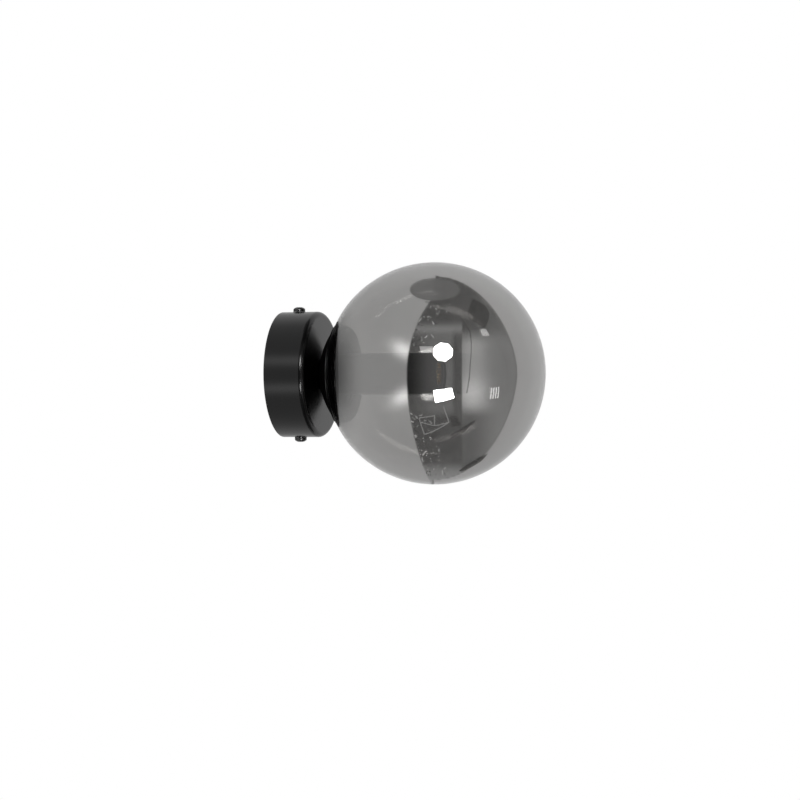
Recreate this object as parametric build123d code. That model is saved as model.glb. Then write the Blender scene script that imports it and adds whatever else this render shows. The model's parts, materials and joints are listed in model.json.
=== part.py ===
"""Globe wall sconce: a round canopy, a small dish and a smoked glass globe on a lampholder.

Millimetres. The origin is on the wall, at the centre of the canopy's back. +Z is up, and -Y
points out of the wall, so a depth d out of the wall is the plane y = -d. Nearly every piece is
turned about the Y axis, and is drawn as a half section with corners (radius, depth).
"""

import os
from math import asin, cos, hypot, pi, radians, sin, sqrt

from build123d import *

# ---- driving sizes ---------------------------------------------------------------------------

# canopy and its side screws
CANOPY_DIAMETER = 80.5
CANOPY_DEPTH = 26.0
CANOPY_SHEET = 1.0
CANOPY_EDGE_RADIUS = 3.2
COVER_SCREW_DEPTH = 10.4
COVER_SCREW_DIAMETER = 4.0
COVER_SCREW_LENGTH = 8.0
COVER_HEAD_DIAMETER = 7.8
COVER_HEAD_HEIGHT = 3.1
COVER_HOLE_CLEARANCE = 0.3

# glass globe, its threaded ring and its seal
GLOBE_DIAMETER = 140.0
GLASS_WALL = 3.0
GLOBE_STANDOFF = 4.0
NECK_ANGLE = 45.0
NECK_RADIUS = 58.0
LAMP_PASSAGE = 46.0
RING_WALL = 0.9
RING_FLANGE = 6.5
SEAL_WALL = 0.5
BOND_GAP = 0.05
GLASS_GAP = 0.15

# dish under the globe
DISH_DIAMETER = 66.0
DISH_BOWL_RADIUS = 48.0
DISH_SHEET = 0.6
DISH_FLOOR_RADIUS = 8.0
DISH_GLASS_GAP = 0.25

# threaded carrier that the globe screws on
CARRIER_WALL = 1.0
CARRIER_PROUD = 1.0
CARRIER_CORNER_RADIUS = 1.2
THREAD_CLEARANCE = 0.08

# threaded tube, its nuts and its washer
NIPPLE_DIAMETER = 10.0
NIPPLE_BORE = 7.2
NIPPLE_TAIL = 5.0
NIPPLE_HEAD = 6.0
NIPPLE_HOLE_CLEARANCE = 0.2
NUT_CLEARANCE = 0.05
NUT_FLATS = 14.0
NUT_HEIGHT = 3.0
WASHER_DIAMETER = 18.0
WASHER_THICKNESS = 1.0
WASHER_TEETH = 12
SPACER_LENGTH = 7.6
SPACER_DIAMETER = 14.0

# lampholder
SLEEVE_DIAMETER = 26.4
SLEEVE_WALL = 1.2
SLEEVE_LENGTH = 69.3
CORE_CLEARANCE = 0.1
CORE_LENGTH = 33.0
CORE_RECESS = 1.0
SHELL_BORE = 14.0
SHELL_WALL = 0.4
SHELL_LENGTH = 16.9
SHELL_RECESS = 1.0
SHELL_CLEARANCE = 0.1
CHAMBER_DEPTH = 5.6
STIRRUP_SHEET = 1.2
STIRRUP_WIDTH = 7.0
STIRRUP_GRIP = 9.0
CONTACT_SHEET = 0.4
CONTACT_WIDTH = 3.6
TERMINAL_OFFSET = 5.8
TERMINAL_DEPTH = 5.5
HOLDER_SCREW_DIAMETER = 2.5
HOLDER_HEAD_DIAMETER = 4.0
HOLDER_HEAD_HEIGHT = 1.2

# wall bracket
BRACKET_SHEET = 1.5
BRACKET_WIDTH = 20.0
EAR_WIDTH = 14.0
EAR_REACH = 18.0
EAR_GAP = 0.2
EAR_COLLAR = 1.5
TAPPED_CLEARANCE = 0.05
WALL_SLOT_SPACING = 44.0
WALL_SLOT_LENGTH = 12.0
WALL_SLOT_WIDTH = 4.5
EARTH_SCREW_DIAMETER = 4.0
EARTH_SCREW_X = -6.0
TAG_SHEET = 0.8
TAG_DIAMETER = 7.4
TAG_BARREL = 3.4
TAG_TURN = 20.0

# terminal block
POLE_PITCH = 8.0
POLE_COUNT = 3
BLOCK_WIDTH = 16.0
BLOCK_HEIGHT = 12.0
BLOCK_X = 20.0
TUBE_DIAMETER = 4.4
TUBE_BORE = 3.0
TUBE_HEIGHT = 6.0
CLAMP_SCREW_DIAMETER = 3.0
CLAMP_SCREW_SPACING = 8.0
BLOCK_SCREW_DIAMETER = 2.5
BLOCK_SCREW_HEAD = 4.6

# wires
WIRE_DIAMETER = 2.4
WIRE_SPREAD = 1.6

# ---- worked out from the driving sizes -------------------------------------------------------

CANOPY_RADIUS = CANOPY_DIAMETER / 2
CANOPY_INNER = CANOPY_RADIUS - CANOPY_SHEET
CANOPY_FLOOR = CANOPY_DEPTH - CANOPY_SHEET

GLOBE_RADIUS = GLOBE_DIAMETER / 2
GLOBE_INNER = GLOBE_RADIUS - GLASS_WALL
GLOBE_CENTRE = CANOPY_DEPTH + GLOBE_STANDOFF + GLOBE_RADIUS
NECK_TURN = radians(NECK_ANGLE)
NECK_CENTRE = ((GLOBE_RADIUS - NECK_RADIUS) * sin(NECK_TURN),
               GLOBE_CENTRE - (GLOBE_RADIUS - NECK_RADIUS) * cos(NECK_TURN))
RING_BORE = LAMP_PASSAGE / 2
RING_OUTER = RING_BORE + RING_WALL
SEAL_INNER = RING_OUTER + BOND_GAP
SEAL_OUTER = SEAL_INNER + SEAL_WALL
GLASS_MOUTH = SEAL_OUTER + GLASS_GAP

NIPPLE_RADIUS = NIPPLE_DIAMETER / 2
NUT_BORE = NIPPLE_RADIUS + NUT_CLEARANCE
NIPPLE_HOLE = NIPPLE_RADIUS + NIPPLE_HOLE_CLEARANCE
DISH_FLOOR = CANOPY_DEPTH + DISH_SHEET
CARRIER_BACK = DISH_FLOOR + SPACER_LENGTH
CARRIER_FLOOR = CARRIER_BACK + CARRIER_WALL
THREAD_RADIUS = RING_BORE - THREAD_CLEARANCE
STIRRUP_BACK = CARRIER_FLOOR + NUT_HEIGHT
STIRRUP_FLOOR = STIRRUP_BACK + STIRRUP_SHEET
REAR_NUT_BACK = CANOPY_FLOOR - WASHER_THICKNESS - NUT_HEIGHT
TUBE_TAIL = REAR_NUT_BACK - NIPPLE_TAIL
TUBE_HEAD = STIRRUP_FLOOR + NIPPLE_HEAD

SLEEVE_BORE = SLEEVE_DIAMETER / 2 - SLEEVE_WALL
SLEEVE_END = CARRIER_FLOOR + SLEEVE_LENGTH
CORE_RADIUS = SLEEVE_BORE - CORE_CLEARANCE
CORE_END = SLEEVE_END - CORE_RECESS
CORE_BACK = CORE_END - CORE_LENGTH
SHELL_INNER = SHELL_BORE / 2
SHELL_OUTER = SHELL_INNER + SHELL_WALL
SHELL_END = CORE_END - SHELL_RECESS
SHELL_BACK = SHELL_END - SHELL_LENGTH
CHAMBER_BACK = SHELL_BACK - CHAMBER_DEPTH
CHAMBER_RADIUS = SHELL_OUTER - 2 * SHELL_WALL
STRIP_X = TERMINAL_OFFSET - WIRE_DIAMETER / 2 - CONTACT_SHEET / 2
WIRE_END = CORE_BACK + TERMINAL_DEPTH

EAR_FACE = sqrt(CANOPY_INNER ** 2 - (EAR_WIDTH / 2) ** 2) - EAR_GAP
HEAD_SEAT = CANOPY_RADIUS + 0.1
BLOCK_BACK = BRACKET_SHEET
BLOCK_FRONT = BLOCK_BACK + BLOCK_HEIGHT
TUBE_DEPTH = BLOCK_BACK + TUBE_HEIGHT
BLOCK_LENGTH = POLE_COUNT * POLE_PITCH
BLOCK_INNER_X = BLOCK_X - BLOCK_WIDTH / 2


# ---- shared helpers --------------------------------------------------------------------------

def layer(depth, x=0.0, z=0.0):
    """The plane at a depth out of the wall: its own x is X, its own y is Z, it faces outwards."""
    return Plane(origin=(x, -depth, z), x_dir=(1, 0, 0), z_dir=(0, -1, 0))


def corner(radius, depth):
    """A half section's corner on the XY plane."""
    return (radius, -depth)


def turned(*edges):
    """A solid turned about the Y axis from the closed edges of its half section."""
    return revolve(make_face(Wire(edges)), axis=Axis.Y)


def turned_polygon(*corners):
    """A solid turned about the Y axis from the straight-sided half section with these corners."""
    points = [corner(radius, depth) for radius, depth in corners]
    return revolve(make_face(Polyline(*points, close=True)), axis=Axis.Y)


def tube(outer, inner, back, front):
    """A straight tube about the Y axis between two depths."""
    return turned_polygon((inner, back), (outer, back), (outer, front), (inner, front))


def rod(radius, back, front, x=0.0, z=0.0):
    """A round rod that points out of the wall, between two depths."""
    return extrude(layer(back, x, z) * Circle(radius), front - back)


def block(x_range, z_range, depth_range):
    """A box between two values of X, of Z and of depth."""
    (x0, x1), (z0, z1), (back, front) = x_range, z_range, depth_range
    outline = layer(back, (x0 + x1) / 2, (z0 + z1) / 2) * Rectangle(x1 - x0, z1 - z0)
    return extrude(outline, front - back)


def arc_depth(centre, radius, r):
    """Depth of an arc's wall-side half at distance r from the axis. Its centre is
    (distance from the axis, depth)."""
    return centre[1] - sqrt(radius ** 2 - (r - centre[0]) ** 2)


def section_arc(centre, radius, r_start, r_end):
    """Edge of a half section along an arc's wall-side half, between two distances."""
    start, end = asin((r_start - centre[0]) / radius), asin((r_end - centre[0]) / radius)
    points = [corner(centre[0] + radius * sin(a), centre[1] - radius * cos(a))
              for a in (start, (start + end) / 2, end)]
    return ThreePointArc(*points)


def line(start, end):
    """Straight edge of a half section between two (radius, depth) corners."""
    return Line(corner(*start), corner(*end))


def arcs_meet(centre_a, radius_a, centre_b, radius_b):
    """The larger distance from the axis at which two arcs cross."""
    across, along = centre_b[0] - centre_a[0], centre_b[1] - centre_a[1]
    apart = hypot(across, along)
    reach = (radius_a ** 2 - radius_b ** 2 + apart ** 2) / (2 * apart)
    half = sqrt(radius_a ** 2 - reach ** 2)
    return centre_a[0] + (reach * across + half * abs(along)) / apart


def neck_depth(offset, r):
    """Depth of the glass shoulder round the opening, or of a surface this far outside it."""
    return arc_depth(NECK_CENTRE, NECK_RADIUS + offset, r)


def neck_arc(offset, r_start, r_end):
    """Edge of a half section along such a surface, between two distances from the axis."""
    return section_arc(NECK_CENTRE, NECK_RADIUS + offset, r_start, r_end)


def neck_end(offset, r, other):
    """Edge square to the shoulder, from distance r on one such surface to another of them."""
    turn = asin((r - NECK_CENTRE[0]) / (NECK_RADIUS + offset))
    end = NECK_CENTRE[0] + (NECK_RADIUS + other) * sin(turn)
    return end, line((r, neck_depth(offset, r)), (end, neck_depth(other, end)))


def cross_recess(size, depth, head_top):
    """The cross-shaped recess of a screw head, cut down from the top along its own z."""
    width = size / 4
    arms = Rectangle(size, width) + Rectangle(width, size)
    return extrude(Plane.XY.offset(head_top) * arms, -depth, taper=12)


def pan_head_screw(diameter, length, head_diameter, head_height):
    """A pan-head screw with a domed top: its head stands on z = 0, its shank points down."""
    base, edge, shoulder = head_diameter / 2, head_diameter * 0.48, head_height * 0.5
    dome = (head_height ** 2 - edge ** 2 - shoulder ** 2) / (2 * (head_height - shoulder))
    middle = dome + sqrt((head_height - dome) ** 2 - (edge / 2) ** 2)
    outline = make_face(Wire([
        Line((0, 0), (base, 0)), Line((base, 0), (edge, shoulder)),
        ThreePointArc((edge, shoulder), (edge / 2, middle), (0, head_height)),
        Line((0, head_height), (0, 0))]))
    head = revolve(Plane.XZ * outline, axis=Axis.Z)
    rounded = head.edges().filter_by(lambda e: abs(e.center().Z - shoulder) < 0.01)
    head = fillet(rounded, head_height * 0.2)
    shank = extrude(Circle(diameter / 2), -length)
    shank = chamfer(shank.edges().sort_by(Axis.Z)[0], diameter / 10)
    return head + shank - cross_recess(head_diameter * 0.62, head_height * 0.6, head_height)


def cheese_head_screw(diameter, length, head_diameter, head_height):
    """A slotted screw: its head stands on z = 0, and its shank points down."""
    slot = Pos(0, 0, head_height) * Box(head_diameter * 1.2, diameter / 4, head_height)
    return (extrude(Circle(head_diameter / 2), head_height)
            + extrude(Circle(diameter / 2), -length) - slot)


def hex_nut(back):
    """A nut of the threaded tube, with its back face at this depth."""
    blank = extrude(layer(back) * RegularPolygon(NUT_FLATS / 2, 6, major_radius=False), NUT_HEIGHT)
    cone_radius = NUT_FLATS / 2 / cos(radians(30)) + 0.1
    crown = rod(cone_radius, back, back + NUT_HEIGHT)
    crown = chamfer(crown.edges(), 0.7)
    return (blank & crown) - rod(NUT_BORE, back - 1, back + NUT_HEIGHT + 1)


# ---- wall side -------------------------------------------------------------------------------

def wall_bracket():
    """A strip bent into a U: its ears are tapped for the cover screws, its back has two slots."""
    outer, inner = EAR_FACE, EAR_FACE - BRACKET_SHEET
    section = make_face(Polyline(
        (0, -outer), (0, outer), (-EAR_REACH, outer), (-EAR_REACH, inner), (-BRACKET_SHEET, inner),
        (-BRACKET_SHEET, -inner), (-EAR_REACH, -inner), (-EAR_REACH, -outer), close=True))
    bends_out = section.vertices().filter_by(lambda v: abs(v.X) < 0.01)
    section = fillet(bends_out, BRACKET_SHEET + 0.5)
    bends_in = section.vertices().filter_by(
        lambda v: abs(v.X + BRACKET_SHEET) < 0.01 and abs(v.Y) > inner - 0.01)
    section = fillet(bends_in, 0.5)
    strip = extrude(Plane.YZ * section, BRACKET_WIDTH / 2, both=True)

    for side in (-1, 1):
        spare = (BRACKET_WIDTH - EAR_WIDTH) / 2
        for edge in (-1, 1):
            x = edge * (EAR_WIDTH / 2 + spare / 2 + 1)
            ear_side = block((x - spare / 2 - 1, x + spare / 2 + 1),
                             sorted((side * (inner - 4), side * (outer + 1))),
                             (-1, EAR_REACH + 1))
            strip -= ear_side
        collar = Pos(0, -COVER_SCREW_DEPTH, side * (inner - EAR_COLLAR / 2)) * Cylinder(
            COVER_SCREW_DIAMETER / 2 + 1.1, EAR_COLLAR)
        hole = Pos(0, -COVER_SCREW_DEPTH, side * inner) * Cylinder(
            COVER_SCREW_DIAMETER / 2 + TAPPED_CLEARANCE, 4 * (BRACKET_SHEET + EAR_COLLAR))
        strip = strip + collar - hole
        slot = layer(-1, z=side * WALL_SLOT_SPACING / 2) * SlotOverall(
            WALL_SLOT_LENGTH, WALL_SLOT_WIDTH, rotation=90)
        strip -= extrude(slot, BRACKET_SHEET + 2)
        tips = strip.edges().filter_by(Axis.Z).filter_by(
            lambda e: abs(e.center().Y + EAR_REACH) < 0.01 and e.center().Z * side > 0)
        strip = fillet(tips, 3)

    arm = block((0, BLOCK_X + 4), (-POLE_PITCH * 0.8, POLE_PITCH * 0.8), (0, BRACKET_SHEET))
    arm = fillet(arm.edges().filter_by(Axis.Y).group_by(Axis.X)[-1], 2)
    tapped = (rod(BLOCK_SCREW_DIAMETER / 2 + TAPPED_CLEARANCE, -1, BRACKET_SHEET + 1,
                  BLOCK_X, POLE_PITCH / 2)
              + rod(EARTH_SCREW_DIAMETER / 2 + TAPPED_CLEARANCE, -1, BRACKET_SHEET + 1,
                    EARTH_SCREW_X))
    return strip + arm - tapped


def earth_screw():
    """Slotted screw that clamps the earth tag. Its end stops short of the wall."""
    screw = cheese_head_screw(EARTH_SCREW_DIAMETER, BRACKET_SHEET + TAG_SHEET - 0.2,
                              EARTH_SCREW_DIAMETER * 1.7, EARTH_SCREW_DIAMETER * 0.6)
    return layer(BRACKET_SHEET + TAG_SHEET, EARTH_SCREW_X) * screw


def earth_tag_axis():
    """Depth of the barrel's axis, and the direction in X and Z in which it points."""
    turn = radians(-TAG_TURN)
    return BRACKET_SHEET + TAG_BARREL / 2 + 0.1, cos(turn), sin(turn)


def earth_tag():
    """Ring tag: a flat ring, and a crimped barrel that holds the earth wire."""
    depth, along_x, along_z = earth_tag_axis()
    ring = rod(TAG_DIAMETER / 2, BRACKET_SHEET, BRACKET_SHEET + TAG_SHEET, EARTH_SCREW_X)
    place = Plane(origin=(EARTH_SCREW_X, -BRACKET_SHEET - TAG_SHEET / 2, 0),
                  x_dir=(along_x, 0, along_z), z_dir=(0, -1, 0))
    neck = place * Pos(TAG_DIAMETER / 2, 0, 0) * Box(TAG_DIAMETER / 2, TAG_BARREL, TAG_SHEET)
    start = TAG_DIAMETER / 2 + 0.8
    barrel_plane = Plane(
        origin=(EARTH_SCREW_X + start * along_x, -depth, start * along_z),
        x_dir=(0, 1, 0), z_dir=(along_x, 0, along_z))
    barrel = extrude(barrel_plane * Circle(TAG_BARREL / 2), 5)
    bore = extrude(barrel_plane * Circle(WIRE_DIAMETER / 2 + 0.05), 6)
    hole = rod(EARTH_SCREW_DIAMETER / 2 + 0.1, 0, BRACKET_SHEET + 4, EARTH_SCREW_X)
    return ring + neck + barrel - bore - hole


def canopy():
    """The drum against the wall: one deep-drawn sheet, with a hole in its face and two in its rim."""
    inner_edge = max(CANOPY_EDGE_RADIUS - CANOPY_SHEET, 0.3)
    section = make_face(Polyline(
        *[corner(*p) for p in (
            (CANOPY_INNER, 0), (CANOPY_RADIUS, 0), (CANOPY_RADIUS, CANOPY_DEPTH),
            (NIPPLE_HOLE, CANOPY_DEPTH), (NIPPLE_HOLE, CANOPY_FLOOR),
            (CANOPY_INNER, CANOPY_FLOOR))], close=True))
    outside = section.vertices().filter_by(
        lambda v: abs(v.X - CANOPY_RADIUS) < 0.01 and abs(v.Y + CANOPY_DEPTH) < 0.01)
    section = fillet(outside, CANOPY_EDGE_RADIUS)
    inside = section.vertices().filter_by(
        lambda v: abs(v.X - CANOPY_INNER) < 0.01 and abs(v.Y + CANOPY_FLOOR) < 0.01)
    section = fillet(inside, inner_edge)
    drum = revolve(section, axis=Axis.Y)
    screw_hole = Pos(0, -COVER_SCREW_DEPTH, 0) * Cylinder(
        COVER_SCREW_DIAMETER / 2 + COVER_HOLE_CLEARANCE, 2 * CANOPY_RADIUS + 2)
    return drum - screw_hole


def cover_screw(side):
    """Pan-head screw through the canopy's rim into a bracket ear: side 1 on top, -1 below."""
    screw = pan_head_screw(COVER_SCREW_DIAMETER, COVER_SCREW_LENGTH,
                           COVER_HEAD_DIAMETER, COVER_HEAD_HEIGHT)
    place = Plane(origin=(0, -COVER_SCREW_DEPTH, side * HEAD_SEAT), x_dir=(1, 0, 0),
                  z_dir=(0, 0, side))
    return place * Rot(0, 0, 25) * screw


# ---- terminal block and wires ----------------------------------------------------------------

def pole_heights():
    """Z of each pole of the terminal block: live on top, then neutral, then earth."""
    return [POLE_PITCH * ((POLE_COUNT - 1) / 2 - i) for i in range(POLE_COUNT)]


def clamp_places():
    """X and Z of each clamp screw."""
    return [(BLOCK_X + side * CLAMP_SCREW_SPACING / 2, z) for z in pole_heights() for side in (-1, 1)]


def along_x(radius, x_range, z):
    """A rod along X at the depth of the terminal tubes."""
    start, end = x_range
    return extrude(Plane(origin=(start, -TUBE_DEPTH, z), x_dir=(0, 1, 0), z_dir=(1, 0, 0))
                   * Circle(radius), end - start)


def terminal_block():
    """Nylon strip with a waist between its poles and a chimney over each clamp screw."""
    half = BLOCK_WIDTH / 2
    shoulder = BLOCK_BACK + BLOCK_HEIGHT * 0.75
    body = block((BLOCK_X - half, BLOCK_X + half), (-BLOCK_LENGTH / 2, BLOCK_LENGTH / 2),
                 (BLOCK_BACK, shoulder))
    gap = POLE_PITCH * 0.22
    for index in range(1, POLE_COUNT):
        z = POLE_PITCH * (index - POLE_COUNT / 2)
        for side in (-1, 1):
            x = BLOCK_X + side * half
            body -= block(sorted((x - side * 3, x + side)), (z - gap / 2, z + gap / 2),
                          (BLOCK_BACK - 1, shoulder + 1))
    for x, z in clamp_places():
        body += rod(CLAMP_SCREW_DIAMETER / 2 + 1.2, shoulder - 1, BLOCK_FRONT, x, z)
    for x, z in clamp_places():
        body -= rod(CLAMP_SCREW_DIAMETER / 2 + 0.2, TUBE_DEPTH, BLOCK_FRONT + 1, x, z)
    for z in pole_heights():
        body -= along_x(TUBE_DIAMETER / 2, (BLOCK_X - half - 1, BLOCK_X + half + 1), z)
    return body - rod(BLOCK_SCREW_DIAMETER / 2 + 0.15, 0, BLOCK_FRONT + 1, BLOCK_X, POLE_PITCH / 2)


def terminal_tubes():
    """Brass tubes inside the block, one for each pole, with two tapped holes each."""
    half = BLOCK_WIDTH / 2 - 1.5
    tubes = []
    for z in pole_heights():
        pole = along_x(TUBE_DIAMETER / 2, (BLOCK_X - half, BLOCK_X + half), z)
        pole -= along_x(TUBE_BORE / 2, (BLOCK_X - half - 1, BLOCK_X + half + 1), z)
        for x, screw_z in clamp_places():
            if screw_z == z:
                pole -= rod(CLAMP_SCREW_DIAMETER / 2 + TAPPED_CLEARANCE, TUBE_DEPTH,
                            BLOCK_FRONT, x, z)
        tubes.append(pole)
    return Compound(children=tubes)


def terminal_screws():
    """The six clamp screws, turned down on the wires."""
    tip = TUBE_DEPTH + WIRE_DIAMETER / 2
    length = BLOCK_HEIGHT * 0.3
    screws = []
    for x, z in clamp_places():
        slot = layer(tip + length, x, z) * Box(4, 0.6, 1.2)
        screws.append(rod(CLAMP_SCREW_DIAMETER / 2, tip, tip + length, x, z) - slot)
    return Compound(children=screws)


def block_screw():
    """Screw between two poles that holds the block on the bracket's arm."""
    seat = BLOCK_BACK + BLOCK_HEIGHT * 0.75
    screw = cheese_head_screw(BLOCK_SCREW_DIAMETER, seat - 0.2, BLOCK_SCREW_HEAD, 1.6)
    return layer(seat, BLOCK_X, POLE_PITCH / 2) * screw


def wire(name, points):
    """A round wire on straight runs and tangent arcs through points (x, z, depth)."""
    path = [Vector(x, -depth, z) for x, z, depth in points]
    radii = []
    for before, here, after in zip(path, path[1:], path[2:]):
        run_in, run_out = here - before, after - here
        turn = radians(run_in.get_angle(run_out))
        shorter = min(run_in.length, run_out.length)
        radii.append(0.45 * shorter / (sin(turn / 2) / cos(turn / 2)))
    print(name, "bend radii", [round(r, 1) for r in radii])
    route = FilletPolyline(*path, radius=radii)
    start = path[1] - path[0]
    profile = Plane(origin=path[0], z_dir=start) * Circle(WIRE_DIAMETER / 2)
    solid = sweep(profile, path=route)
    section = pi * WIRE_DIAMETER ** 2 / 4
    print(name, "length", round(route.length, 1), "volume ratio",
          round(solid.volume / (section * route.length), 4))
    return solid


def wire_start(z):
    """Where a wire begins, inside its brass tube, and where it has left the block."""
    return (BLOCK_INNER_X + 4, z, TUBE_DEPTH), (BLOCK_INNER_X - 4.5, z, TUBE_DEPTH)


def live_wire():
    """From the top pole through the threaded tube to the live terminal."""
    inside, outside = wire_start(pole_heights()[0])
    return wire("live wire", [
        inside, outside, (1.2, POLE_PITCH * 0.62, TUBE_DEPTH + 1.0),
        (-WIRE_SPREAD, 1.0, TUBE_TAIL - 1.0), (-WIRE_SPREAD, 0, TUBE_TAIL + 6),
        (-WIRE_SPREAD, 0, TUBE_HEAD + 1), (-TERMINAL_OFFSET, 0, TUBE_HEAD + 13),
        (-TERMINAL_OFFSET, 0, WIRE_END)])


def neutral_wire():
    """From the middle pole through the threaded tube to the neutral terminal."""
    inside, outside = wire_start(pole_heights()[1])
    return wire("neutral wire", [
        inside, outside, (WIRE_SPREAD, 0, TUBE_TAIL - 2.5), (WIRE_SPREAD, 0, TUBE_HEAD + 1),
        (TERMINAL_OFFSET, 0, TUBE_HEAD + 13), (TERMINAL_OFFSET, 0, WIRE_END)])


def earth_wire():
    """From the bottom pole to the barrel of the earth tag."""
    inside, outside = wire_start(pole_heights()[2])
    depth, direction_x, direction_z = earth_tag_axis()
    reach = TAG_DIAMETER / 2 + 2.0
    lead = TAG_DIAMETER / 2 + 8.5
    return wire("earth wire", [
        inside, (outside[0] + 1.0, outside[1], outside[2] - 0.3),
        (EARTH_SCREW_X + lead * direction_x, lead * direction_z, depth),
        (EARTH_SCREW_X + reach * direction_x, reach * direction_z, depth)])


# ---- stack on the threaded tube --------------------------------------------------------------

def nipple():
    """Threaded tube that clamps canopy, dish and carrier, and lets the wires through."""
    bore, outer, bevel = NIPPLE_BORE / 2, NIPPLE_RADIUS, 0.5
    return turned_polygon(
        (bore, TUBE_TAIL), (outer - bevel, TUBE_TAIL), (outer, TUBE_TAIL + bevel),
        (outer, TUBE_HEAD - bevel), (outer - bevel, TUBE_HEAD), (bore, TUBE_HEAD))


def rear_washer():
    """Tooth washer under the nut inside the canopy."""
    back = CANOPY_FLOOR - WASHER_THICKNESS
    washer = tube(WASHER_DIAMETER / 2, NUT_BORE, back, CANOPY_FLOOR)
    notch = layer(back - 1, WASHER_DIAMETER / 2) * Rectangle(2.4, 1.2)
    for index in range(WASHER_TEETH):
        washer -= Rot(0, 360 / WASHER_TEETH * index, 0) * extrude(notch, WASHER_THICKNESS + 2)
    return washer


def globe_dish():
    """Thin dish: a flat floor, a ball-shaped bowl, and a lip that follows the glass."""
    bowl = (0, CANOPY_DEPTH + DISH_BOWL_RADIUS)
    rim = DISH_DIAMETER / 2
    shoulder = DISH_FLOOR_RADIUS + 2.5
    skin_out, skin_in = DISH_BOWL_RADIUS, DISH_BOWL_RADIUS - DISH_SHEET
    lip_in = DISH_GLASS_GAP
    lip_out = lip_in + DISH_SHEET
    knee_out = arcs_meet(bowl, skin_out, NECK_CENTRE, NECK_RADIUS + lip_out)
    knee_in = arcs_meet(bowl, skin_in, NECK_CENTRE, NECK_RADIUS + lip_in)
    rim_in, rim_edge = neck_end(lip_out, rim, lip_in)
    floor_out = (DISH_FLOOR_RADIUS, CANOPY_DEPTH)
    floor_in = (DISH_FLOOR_RADIUS, DISH_FLOOR)
    shoulder_out = (shoulder, arc_depth(bowl, skin_out, shoulder))
    shoulder_in = (shoulder, arc_depth(bowl, skin_in, shoulder))
    return turned(
        line((NIPPLE_HOLE, CANOPY_DEPTH), floor_out),
        line(floor_out, shoulder_out),
        section_arc(bowl, skin_out, shoulder, knee_out),
        neck_arc(lip_out, knee_out, rim),
        rim_edge,
        neck_arc(lip_in, rim_in, knee_in),
        section_arc(bowl, skin_in, knee_in, shoulder),
        line(shoulder_in, floor_in),
        line(floor_in, (NIPPLE_HOLE, DISH_FLOOR)),
        line((NIPPLE_HOLE, DISH_FLOOR), (NIPPLE_HOLE, CANOPY_DEPTH)))


def globe_carrier():
    """Flat-bottomed cup with a threaded wall that the globe's ring screws on."""
    top = ring_front() + CARRIER_PROUD
    inner = THREAD_RADIUS - CARRIER_WALL
    section = make_face(Polyline(
        *[corner(*p) for p in (
            (NIPPLE_HOLE, CARRIER_BACK), (THREAD_RADIUS, CARRIER_BACK), (THREAD_RADIUS, top),
            (inner, top), (inner, CARRIER_FLOOR), (NIPPLE_HOLE, CARRIER_FLOOR))], close=True))
    outside = section.vertices().filter_by(
        lambda v: abs(v.X - THREAD_RADIUS) < 0.01 and abs(v.Y + CARRIER_BACK) < 0.01)
    return revolve(fillet(outside, CARRIER_CORNER_RADIUS), axis=Axis.Y)


def holder_stirrup():
    """Bent strip: its foot screws on the threaded tube, its leg carries the lampholder's core."""
    leg_out = sqrt(SLEEVE_BORE ** 2 - (STIRRUP_WIDTH / 2) ** 2) - 0.15
    leg_in = leg_out - STIRRUP_SHEET
    half = STIRRUP_WIDTH / 2
    foot = rod(NUT_FLATS / 2 + 1.5, STIRRUP_BACK, STIRRUP_FLOOR)
    foot += block((-half, half), (-leg_out, 0), (STIRRUP_BACK, STIRRUP_FLOOR))
    leg = block((-half, half), (-leg_out, -leg_in), (STIRRUP_BACK, CORE_BACK + STIRRUP_GRIP))
    leg = foot + leg
    bend = leg.edges().filter_by(Axis.X).filter_by(
        lambda e: abs(e.center().Y + STIRRUP_BACK) < 0.01 and e.center().Z < -leg_in)
    return fillet(bend, STIRRUP_SHEET) - rod(NUT_BORE, STIRRUP_BACK - 1, STIRRUP_FLOOR + 1)


# ---- lampholder ------------------------------------------------------------------------------

def candle_sleeve():
    """Smooth tube that hides the lampholder and stands on the carrier's floor."""
    outer = SLEEVE_DIAMETER / 2
    edge = SLEEVE_WALL / 4
    return turned_polygon(
        (SLEEVE_BORE, CARRIER_FLOOR), (outer, CARRIER_FLOOR), (outer, SLEEVE_END - edge),
        (outer - edge, SLEEVE_END), (SLEEVE_BORE, SLEEVE_END))


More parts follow.
